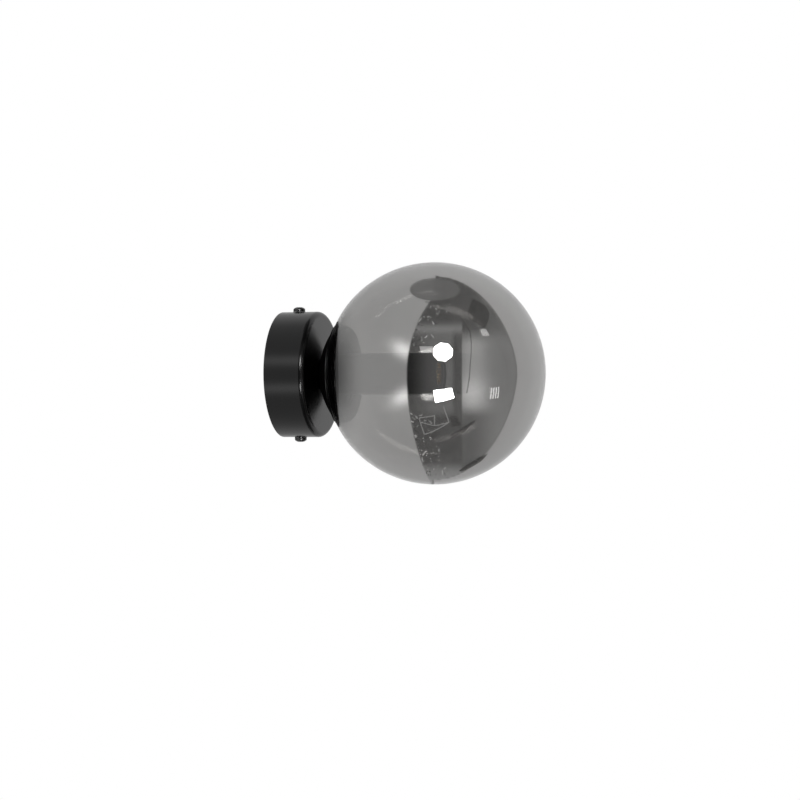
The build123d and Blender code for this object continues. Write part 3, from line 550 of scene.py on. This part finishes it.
def carrier_profile():
    """Corners in mm: out along the floor, up the outside, over the edge and down the inside."""
    back, front, r = (v / MM for v in reach("globe_carrier"))
    bore, floor, start = r - CARRIER_WALL, back + CARRIER_WALL, back + OUTER_CORNER + FIRST_THREAD
    (bevel, drop), end = EDGE_BEVEL, front - LAST_THREAD
    outside = corner(r - OUTER_CORNER, back + OUTER_CORNER, OUTER_CORNER)
    inside = corner(bore - INNER_CORNER, floor + INNER_CORNER, INNER_CORNER)[::-1]
    wall = [(r, start, CARRIER_ROOT), (r, end, CARRIER_ROOT), (r, front - drop, 0),
            (r - bevel, front, 0), (bore + bevel, front, 0),
            (bore, front - drop, 0), (bore, end, CARRIER_ROOT), (bore, start, CARRIER_ROOT)]
    return outline([(CARRIER_HOLE, back, 0)] + outside + wall + inside
                   + [(CARRIER_HOLE, floor, 0)])


points, faces = turned(carrier_profile(), RING_STEPS, GLOBE_THREAD)
piece = add_piece("threaded_carrier", points, faces, "carrier_black", "root")
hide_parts("globe_carrier")

# %% [markdown]
# ## Ring in the globe
#
# A turned ring is bonded in the globe's opening. Its flange is the dark ellipse that shows
# through the glass, and its bore carries the thread. Rows that follow the shoulder's own arcs
# keep the flange at one distance from the glass, where a plain disc would cut into it.

# %% Make the ring
RING_BORE, RING_RADIUS, RING_ROOT = 23.0 * MM, 23.9 * MM, 0.4 * MM
FLANGE_WALL, FLANGE_ROUND, FLANGE_ROWS = 0.9 * MM, 0.35 * MM, 14
GLASS_GAP = 0.65 * MM
BORE_BEVEL, BORE_LEAD_IN, BORE_RUN_OUT, BORE_SPACING = 0.2 * MM, 0.4 * MM, 0.3 * MM, 0.2 * MM


def ring_profile():
    """Rows (radius, depth, thread depth): the back edge, both faces of the flange, the bore."""
    under = -GLASS_WALL - GLASS_GAP
    back, _front, rim = reach("globe_ring")
    below = shoulder_rows(under, RING_RADIUS, rim, FLANGE_ROWS)
    above = shoulder_rows(under - FLANGE_WALL, rim - FLANGE_ROUND, RING_BORE, FLANGE_ROWS)
    plain = np.concatenate([[(RING_BORE + BORE_BEVEL, back), (RING_RADIUS, back)], below, above])
    plain = np.column_stack([plain, np.zeros(len(plain))])
    depths = np.arange(above[-1][1] - BORE_RUN_OUT, back + BORE_LEAD_IN, -BORE_SPACING)
    bore = np.stack(np.broadcast_arrays(RING_BORE, depths, RING_ROOT), -1)
    return np.concatenate([plain, bore, [(RING_BORE, back + BORE_BEVEL, 0)]])


points, faces = turned(ring_profile(), RING_STEPS, GLOBE_THREAD)
piece = add_piece("threaded_ring", points, faces, "carrier_black", "globe")
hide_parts("globe_ring")

# %% [markdown]
# ## Threaded tube
#
# One M10 tube clamps the whole stack and leads the wires to the lampholder. Its fine thread is
# cut from end to end. Both ends have a bevel, under which the root stays at one radius, as it
# does when a bar is bevelled after it is threaded.

# %% Make the threaded tube
TUBE_BORE, TUBE_BEVEL, TUBE_ROOT, TUBE_PITCH = 3.6, 0.5, 0.6, 1.0
TUBE_SPACING, TUBE_STEPS = 0.125 * MM, 96


def nipple_profile():
    """Corners in mm: one end, the threaded outside between two bevels, the other end."""
    back, front, r = (v / MM for v in reach("nipple"))
    face, face_root = r - TUBE_BEVEL, TUBE_BEVEL - TUBE_ROOT
    return outline([(TUBE_BORE, back, 0), (face, back, face_root),
                    (r, back + TUBE_BEVEL, -TUBE_ROOT), (r, front - TUBE_BEVEL, -TUBE_ROOT),
                    (face, front, face_root), (TUBE_BORE, front, 0)], TUBE_SPACING)


points, faces = turned(nipple_profile(), TUBE_STEPS, cut(TUBE_PITCH * MM))
piece = add_piece("threaded_tube", points, faces, "zinc_steel", "root")
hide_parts("nipple")

# %% [markdown]
# ## Cover screws
#
# The two pan-head screws show from every side, and their shanks show when they are drawn out.
# The cross recess could be cut again with booleans, but the solid already has it, so a copy of
# the head is cut off at the seat and closed. Its dome is pressed a little flatter, its recess is
# turned as the photograph shows it, and a shank with a cut M4 thread replaces the plain one.

# %% Copy and press the heads
HEAD_HEIGHT, DOME_RADIUS = 3.03 * MM, 5.3 * MM
HEAD_TOP, HEAD_FALL, HEAD_EDGE = 2.95 * MM, 1.2 * MM, 3.744 * MM
RECESS_TURN = {1: math.radians(35), -1: math.radians(-5)}
HEAD_WELD = 1e-6


def screw_head(node, side, seat):
    """Points and faces of the node's part beyond its seat, closed where it was cut."""
    work = bmesh.new()
    work.from_mesh(nodes[node].data)
    bmesh.ops.remove_doubles(work, verts=work.verts, dist=HEAD_WELD)
    bmesh.ops.bisect_plane(work, geom=work.verts[:] + work.edges[:] + work.faces[:],
                           plane_co=(0, 0, side * seat), plane_no=(0, 0, side), clear_inner=True)
    bmesh.ops.holes_fill(work, edges=[edge for edge in work.edges if edge.is_boundary])
    work.verts.index_update()
    points = np.array([vertex.co[:] for vertex in work.verts])
    faces = [[vertex.index for vertex in face.verts] for face in work.faces]
    work.free()
    return points, faces


def press_head(points, side, seat, depth):
    """Turns the recess and presses the dome, whose edge falls faster than a circle.

    Heights over the seat are scaled by new / old at the same radius r, with old = the dome's
    circle and new = HEAD_TOP - HEAD_FALL (r / HEAD_EDGE)^3."""
    turn = complex(math.cos(RECESS_TURN[side]), math.sin(RECESS_TURN[side]))
    across = (points[:, 0] + 1j * (points[:, 1] + depth)) * turn
    r = np.minimum(np.abs(across), HEAD_EDGE)
    old = HEAD_HEIGHT - DOME_RADIUS + np.sqrt(DOME_RADIUS ** 2 - r ** 2)
    new = HEAD_TOP - HEAD_FALL * (r / HEAD_EDGE) ** 3
    height = side * seat + (points[:, 2] - side * seat) * new / old
    return np.stack([across.real, across.imag - depth, height], -1)


# %% Cut the shanks and join them to the heads
SHANK_RADIUS, SHANK_ROOT, SHANK_PITCH, SHANK_BEVEL = 2.0, 0.42, 0.7, 0.4
SHANK_RUN_OUT, SHANK_MIDDLE = 0.5, 0.01
SHANK_SPACING, SHANK_STEPS = 0.09 * MM, 48


def shank_profile(length):
    """Corners in mm, from the seat, where the thread runs out, to the bevelled tip."""
    r, root, bevel = SHANK_RADIUS, SHANK_ROOT, SHANK_BEVEL
    return outline([(SHANK_MIDDLE, 0, 0), (r - root, 0, 0), (r, SHANK_RUN_OUT, -root),
                    (r, length - bevel, -root), (r - bevel, length, bevel - root),
                    (SHANK_MIDDLE, length, 0)], SHANK_SPACING)


def add_screw(node, side):
    """The copied head and a threaded shank along Z, as one mesh on the screw's own body.

    Side is 1 above and -1 below. Seat and tip are distances from the lamp's axis."""
    low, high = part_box(node)
    top, tip = (high.z, low.z) if side > 0 else (-low.z, -high.z)
    seat, depth = top - HEAD_HEIGHT, -(low.y + high.y) / 2
    head, head_faces = screw_head(node, side, seat)
    head = press_head(head, side, seat, depth)
    profile = shank_profile((seat - tip) / MM)
    shank, faces = turned(profile, SHANK_STEPS, cut(SHANK_PITCH * MM))
    shank = np.stack([shank[:, 0], -depth - shank[:, 2] * side, side * (seat + shank[:, 1])], -1)
    piece = add_piece(node + "_threaded", np.concatenate([head, shank]),
                      (faces + len(head)).tolist() + head_faces, "screw_black",
                      "top_screw" if side > 0 else "bottom_screw")
    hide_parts(node)


add_screw("top_cover_screw", 1)
add_screw("bottom_cover_screw", -1)

# %% [markdown]
# ## The studio
#
# The lamp hangs in an even white tent. What gives mirror glass its shape is what it mirrors:
# here the tent's opening behind the viewer, with a dark room beyond it, two soft boxes, the glow
# that they throw on the cloth, and a round hole overhead. Such things could be set up in the
# room and shifted until their images fit. It is quicker to say where an image lies in the globe
# and to work out from the law of reflection where the thing must stand, so every panel below is
# given by its image. Panels are seen only in reflections: they neither show nor cast a shadow,
# and to the light that falls on a surface the two soft boxes are plain white cloth.

# %% Places that the globe mirrors
STUDIO_RADIUS = 2.5
NEARLY_ZERO = 1e-9
VIEW_AXIS = direction(VIEW_AZIMUTH, VIEW_ELEVATION)
camera_right = camera.rotation_quaternion @ Vector((1, 0, 0))
PICTURE_RIGHT = (camera_right - camera_right.dot(VIEW_AXIS) * VIEW_AXIS).normalized()
STUDIO_AXES = np.array([VIEW_AXIS, PICTURE_RIGHT, VIEW_AXIS.cross(PICTURE_RIGHT)])


def studio_points(x, z, distance=STUDIO_RADIUS):
    """Places that the viewer sees mirrored at (x, z), in radii right of and above its middle.

    A line of sight at s radii from the middle is turned by 2 asin(s). Seen from the globe's
    centre the place lies round by that, less asin(s R / view distance) and asin(s R / distance)."""
    s = np.hypot(x, z)
    turn = (2 * np.arcsin(np.clip(s, 0, 1)) - np.arcsin(s * GLOBE_RADIUS / VIEW_DISTANCE)
            - np.arcsin(s * GLOBE_RADIUS / distance))
    aside = np.sin(turn) / np.maximum(s, NEARLY_ZERO)
    return np.array(GLOBE_PLACE) + distance * (
        np.stack([np.cos(turn), aside * x, aside * z], -1) @ STUDIO_AXES)


def studio_material(name):
    """Light of the mesh's own strength, for rays that a surface has mirrored; others see white."""
    finish = Finish(name)
    strength = finish.node("Attribute", {"attribute_name": "strength"}, output="Fac")
    mirrored = finish.node("LightPath", output="Glossy Depth") > 0.5
    light = finish.node("Emission", None, {"Strength": 1 + mirrored * (strength - 1)})
    output = finish.tree.nodes["Material Output"]
    finish.tree.links.new(light.socket, output.inputs["Surface"])
    finish.tree.nodes.remove(finish.shader)
    return finish.material


PANEL_LIGHT = studio_material("studio_light")


def add_panel(name, points, faces, strength, lights=False):
    """A panel of the studio, with one strength of light for each of its points."""
    mesh = bpy.data.meshes.new(name)
    mesh.from_pydata(points.reshape(-1, 3).tolist(), [], faces)
    field = mesh.attributes.new("strength", "FLOAT", "POINT")
    field.data.foreach_set("value", np.ravel(strength).astype(np.float32))
    mesh.materials.append(PANEL_LIGHT)
    panel = bpy.data.objects.new(name, mesh)
    bpy.context.scene.collection.objects.link(panel)
    panel.visible_camera = panel.visible_shadow = False
    panel.visible_diffuse = lights
    return panel


# %% [markdown]
# ## The light of the tent and the room
#
# One sphere round the lamp carries all the large, soft shapes. A painted picture could light it,
# but a formula stays sharp at any size: each point of the sphere takes its strength from the
# place (x, z) of its image, in globe radii right of and above the middle. The numbers below are
# such places, or levels of light on which 1 is white.

# %% Steps, bells and bands
def smooth(value):
    """0 below 0, 1 above 1, and an even S between them."""
    value = np.clip(value, 0, 1)
    return value * value * (3 - 2 * value)


def bell(value, middle, width):
    """1 at the middle, falling off evenly on both sides."""
    return np.exp(-((value - middle) / width) ** 2)


def between(value, low, low_fade, high, high_fade):
    """1 between low and high, falling to 0 at both over their own fades."""
    return smooth((value - low) / low_fade) * smooth((high - value) / high_fade)


# %% The white cloth
CLOTH_LEVEL, CLOTH_EVEN = 1.02, 0.965
SPOT_X, SPOT_Z, SPOT_LEVEL = -0.28, 0.21, 2.1


def cloth_light(x, z):
    """The tent's white cloth: dimmer at the upper left, below, and most of all towards the wall,
    with the two spots that the soft boxes throw on it. Straight behind the lamp it is even."""
    s = np.hypot(x, z)
    uneven = 1 - smooth((s - CLOTH_EVEN) / 0.03)
    above, below = 0.22 * smooth(z / 0.7) * smooth(-x), 0.15 * smooth((-z - 0.2) / 0.6)
    by_wall = 0.8 * (1 - smooth(np.hypot((x + 0.93) / 0.3, z / 0.9)))
    tone = (CLOTH_LEVEL - uneven * (above + below)) * (1 - uneven * by_wall)
    height = SPOT_Z - 0.3 * (x - SPOT_X)
    spots = bell(x, SPOT_X, 0.1) * (bell(z, height, 0.075) + bell(z, -height, 0.075))
    at_rim = 0.7 + 0.3 * smooth((1 - s) / 0.12)
    return (tone + SPOT_LEVEL * spots) * at_rim


# %% The dim room outside the tent
ROOM_LEVEL, STRIP_LEVEL, FLOOR_LEVEL = 0.1, 0.4, 0.4
LEFT_END, RIGHT_END = -0.26, 0.75
ROOM_CORNER = 0.24


def far_end(x, z):
    """The room's far end brightens to the right up to a dark corner, and is dim above and below.

    It has a bright strip under the ceiling and a lighter floor."""
    face = (0.06 + 0.3 * smooth((x - LEFT_END) / 0.3)) * (1 - 0.65 * smooth((x - 0.14) / 0.05))
    light = ROOM_LEVEL + between(z, -0.42, 0.12, 0.45, 0.15) * (face - ROOM_LEVEL)
    return light + STRIP_LEVEL * bell(z, 0.405, 0.045) + FLOOR_LEVEL * smooth((-z - 0.78) / 0.12)


def long_wall(x, z):
    """The room's long wall brightens to the right and darkens upwards, with one light spot."""
    face = (0.2 + 0.3 * smooth((x - 0.3) / 0.3)) * (1 - 0.5 * smooth((z - 0.25) / 0.2))
    spot = (0.8 + 0.7 * bell(z, -0.16, 0.12)) * bell(x, 0.34, 0.142)
    return face + spot * between(z, -0.41, 0.14, 0.42, 0.18)


def left_edge(z):
    """Left arc of the tent's opening: x = LEFT_END (1 - (z / h)^2)^0.85."""
    height = np.where(z > 0, 0.7, 1.05)
    return LEFT_END * np.clip(1 - (z / height) ** 2, 0, 1) ** 0.85


def right_edge(z):
    """Right arc of the tent's opening: x = RIGHT_END sqrt(1 - |z / h|^1.72)."""
    height = np.where(z > 0, 0.875, 0.96)
    return RIGHT_END * np.clip(1 - np.abs(z / height) ** 1.72, 0, 1) ** 0.5


# %% Put the light on the sphere
HOLE_X, HOLE_Z, HOLE_WIDTH, HOLE_HEIGHT = 0.008, 0.756, 0.237, 0.105


def room_light(x, z):
    """Cloth outside the opening, room inside it with a dark seam along the right edge, and a
    round hole overhead."""
    from_edge = right_edge(z) - x
    opening = smooth((x - left_edge(z)) / 0.015) * smooth(from_edge / 0.012)
    end = far_end(x, z)
    room = end + smooth((x - ROOM_CORNER) / 0.015) * (long_wall(x, z) - end)
    seam = 0.5 * bell(from_edge, 0.012, 0.008)
    light = cloth_light(x, z) * (1 - opening) + room * (1 - seam) * opening
    ring = np.hypot((x - HOLE_X) / HOLE_WIDTH, (z - HOLE_Z) / HOLE_HEIGHT)
    overhead = 0.36 - 0.1 * smooth(x / 0.2 + 0.5) - 0.1 * bell(ring, 0.95, 0.05)
    hole = smooth((1 - ring) / 0.06)
    return light * (1 - hole) + overhead * hole


def add_room(rows=120, columns=480):
    """A sphere round the lamp: rings of growing s from the viewer, closed straight behind."""
    s = np.linspace(0, 1, rows)[:, None]
    round_view = np.linspace(0, 2 * np.pi, columns, endpoint=False)[None, :]
    x, z = s * np.cos(round_view), s * np.sin(round_view)
    points = studio_points(x, z)
    points[-1] = np.array(GLOBE_PLACE) - STUDIO_RADIUS * STUDIO_AXES[0]
    return add_panel("studio_room", points, grid_faces(rows, columns, False).tolist(),
                     room_light(x, z))


room = add_room()
print("studio room:", len(room.data.vertices), "points of light")

# %% [markdown]
# ## Soft boxes, flags and lamps in the room
#
# The soft boxes are the two white windows in the globe and the line of light on the canopy's
# edge. They are many times brighter than white, because the glass and the black coat send back
# only a little of them. Everything with a sharp outline is a flat patch, given by the corners of
# its image: full models of a table, a lamp or a flag, which is a black screen on a stand, would
# take longer to build and look the same in the glass.


# %% Soft boxes
def add_patch(name, corners, strength, distance=2.2, lights=False):
    """A flat-sided patch whose mirror image in the globe has these corners."""
    x, z = np.array(corners).T
    return add_panel(name, studio_points(x, z, distance), [list(range(len(corners)))],
                     np.full(len(corners), strength), lights)


SOFT_BOX = 24.0
OCTAGON_MIDDLE, OCTAGON_HALF, OCTAGON_LEAN = (0.075, 0.193), (0.093, 0.086), 8
SQUARE_BOX = [(-0.012, -0.154), (0.155, -0.131), (0.178, -0.22), (0.008, -0.267)]
a = np.radians(22.5 + 45 * np.arange(8) - OCTAGON_LEAN)
octagon = np.array(OCTAGON_MIDDLE) + np.array(OCTAGON_HALF) * np.stack([np.cos(a), np.sin(a)], -1)
add_patch("studio_octagon_box", octagon, SOFT_BOX, lights=True)
add_patch("studio_square_box", SQUARE_BOX, SOFT_BOX, lights=True)
print("soft boxes:", SOFT_BOX, "times white")

# %% Flags, table edges and light strips
PATCHES = {  # the level of light and the corners of each image
    "upper_strip": (1.3, [(-0.136, 0.243), (-0.015, 0.245), (-0.015, 0.185), (-0.125, 0.185)]),
    "lower_strip": (0.8, [(-0.114, -0.178), (0.0, -0.177), (0.01, -0.249), (-0.087, -0.249)]),
    "flag": (0.0, [(0.295, 0.558), (0.318, 0.481), (0.451, 0.403), (0.486, 0.481),
                   (0.493, 0.543), (0.451, 0.612), (0.342, 0.675)]),
    "table": (0.0, [(0.14, -0.387), (0.195, -0.38), (0.241, -0.465), (0.155, -0.481)]),
    "near_edge": (0.0, [(0.148, -0.55), (0.241, -0.488), (0.326, -0.442), (0.369, -0.415),
                        (0.35, -0.457), (0.28, -0.52), (0.148, -0.589)]),
    "far_edge": (0.0, [(0.217, -0.876), (0.288, -0.822), (0.381, -0.767), (0.4815, -0.717),
                       (0.419, -0.791), (0.326, -0.846), (0.234, -0.885)]),
}
for name, (strength, corners) in PATCHES.items():
    add_patch("studio_" + name, corners, strength)
print("patches:", ", ".join(PATCHES))

# %% [markdown]
# ## Small things by the opening
#
# A real studio is full of stands, cables and crates, and the globe shows them as a swarm of
# small bright marks along the opening's left edge. Soft round dots would look like bubbles in
# the glass, so each mark is a short straight strip with sharp ends, and a fixed seed draws them,
# so that every run gives the same ones. The dark line of the room's corner and the outline of
# one stand are rows of longer strips.


# %% Thin strips
def add_strips(name, starts, ends, breadth, strength, distance=2.1):
    """Thin straight strips, whose mirror images run from each start to its end."""
    starts, ends = np.array(starts), np.array(ends)
    along = (ends - starts) / np.hypot(*(ends - starts).T)[:, None]
    aside = np.stack([-along[:, 1], along[:, 0]], -1) * np.reshape(breadth, (-1, 1)) / 2
    x, z = np.stack([starts - aside, ends - aside, ends + aside, starts + aside], 1).T
    faces = np.arange(4 * len(starts)).reshape(-1, 4)
    add_panel(name, studio_points(x.T, z.T, distance), faces.tolist(),
              np.repeat(np.broadcast_to(strength, len(starts)), 4))
    print(name, "has", len(starts), "strips")


def add_things(count=150, seed=7):
    """Strips up to 0.22 inside the left edge, most of them near it, drawn by a fixed seed.

    They lie from z = -0.92 to -0.35 and from 0.25 to 0.63, so above and below the far end."""
    draws = np.random.default_rng(seed).random((6, count))
    along, inward, size, turn, breadth, tone = draws
    z = 0.95 * along - 0.92 + 0.6 * (along > 0.6)
    x = left_edge(z) + 0.02 + 0.2 * inward ** 2
    half, lean = 0.004 + 0.02 * size ** 3, 5 * (turn - 0.5)
    step = half[:, None] * np.stack([np.sin(lean), np.cos(lean)], -1)
    middle = np.stack([x, z], -1)
    add_strips("studio_things", middle - step, middle + step, 0.004 + 0.007 * breadth,
               1.8 * tone ** 2)


CORNER_LINE = [(-0.086, 0.644), (0.04, 0.625), (0.153, 0.57), (0.25, 0.48), (0.32, 0.37),
               (0.32, 0.08), (0.288, -0.18)]
STAND_LINE = [(-0.12, -0.44), (0.0, -0.47), (0.13, -0.44), (0.08, -0.3), (0.13, -0.44),
              (-0.09, -0.55), (-0.14, -0.4), (0.0, -0.38), (0.0, -0.47)]
add_things()
add_strips("studio_corner", CORNER_LINE[:-1], CORNER_LINE[1:], 0.006, 0.02)
add_strips("studio_stand", STAND_LINE[:-1], STAND_LINE[1:], 0.009, 0.7)


# %% Ceiling lamps behind grilles
GRILLE_LEVEL, GRILLE_BARS = 3.0, 4


def add_grille(name, start, end, drop):
    """Ceiling lamp behind a grille: bright bars side by side, with gaps as wide between them."""
    start, end, drop = np.array(start), np.array(end), np.array(drop)
    for bar in range(GRILLE_BARS):
        left = start + (end - start) * bar / GRILLE_BARS
        right = start + (end - start) * (bar + 0.5) / GRILLE_BARS
        add_patch(f"studio_{name}_{bar}", [left, right, right + drop, left + drop], GRILLE_LEVEL)


add_grille("upper_grille", (0.408, 0.399), (0.47, 0.399), (0.028, -0.06))
add_grille("lower_grille", (0.507, -0.13), (0.594, -0.122), (-0.01, -0.1))
print("grilles: 2 of", GRILLE_BARS, "bars")

# %% [markdown]
# ## Floor and light
#
# The room itself is the light. Lamps of Blender's own would show as bright shapes in the mirror
# glass, so the world glows evenly instead: white to the eye and in every mirror, and on surfaces
# at a level where a colour renders about as it is written. The floor lies well below the lamp,
# as under a real wall light, and is pale enough to melt into the room.


# %% World and floor
ROOM_LIGHT = 0.62
FLOOR_RADIUS, FLOOR_HEIGHT, FLOOR_SIDES = 6.0, -2.8, 96
FLOOR_WHITE = 0.85


def add_world():
    """White for the camera, mirrors and glass; a softer level for the light on surfaces."""
    world = bpy.data.worlds.new("room")
    bpy.context.scene.world = world
    world.use_nodes = True
    tree = world.node_tree
    background = tree.nodes["Background"]
    background.inputs["Color"].default_value = (1, 1, 1, 1)
    path = tree.nodes.new("ShaderNodeLightPath")
    level = tree.nodes.new("ShaderNodeMapRange")
    level.inputs["To Min"].default_value = 1.0
    level.inputs["To Max"].default_value = ROOM_LIGHT
    tree.links.new(path.outputs["Is Diffuse Ray"], level.inputs["Value"])
    tree.links.new(level.outputs["Result"], background.inputs["Strength"])


def add_floor():
    """A round pale floor, white to the eye but for the lamp's faint shadow."""
    finish = Finish("floor", Base_Color=(0.9, 0.9, 0.9), Roughness=0.9)
    seen = finish.node("LightPath", output="Is Camera Ray")
    mirrored = finish.node("LightPath", output="Is Glossy Ray")
    through = finish.node("LightPath", output="Is Transmission Ray")
    white = finish.node("Emission", None, {"Strength": 1.0})
    share = finish.node("Math", {"operation": "MINIMUM"}, {0: seen + mirrored + through, 1: 1.0})
    body = Signal(finish, finish.shader.outputs[0])
    mixed = finish.node("MixShader", None, {0: share * FLOOR_WHITE, 1: body, 2: white})
    output = finish.tree.nodes["Material Output"]
    finish.tree.links.new(mixed.socket, output.inputs["Surface"])
    t = np.linspace(0, 2 * np.pi, FLOOR_SIDES, endpoint=False)
    points = np.stack([FLOOR_RADIUS * np.sin(t), FLOOR_RADIUS * np.cos(t),
                       np.full(FLOOR_SIDES, FLOOR_HEIGHT)], -1)
    mesh = bpy.data.meshes.new("floor")
    mesh.from_pydata(points.tolist(), [], [list(range(FLOOR_SIDES))[::-1]])
    mesh.materials.append(finish.material)
    floor = bpy.data.objects.new("floor", mesh)
    bpy.context.scene.collection.objects.link(floor)


add_world()
add_floor()
bpy.context.scene.view_settings.view_transform = "Standard"
print("room light", ROOM_LIGHT, "on surfaces, floor", FLOOR_HEIGHT, "m below the lamp's axis")
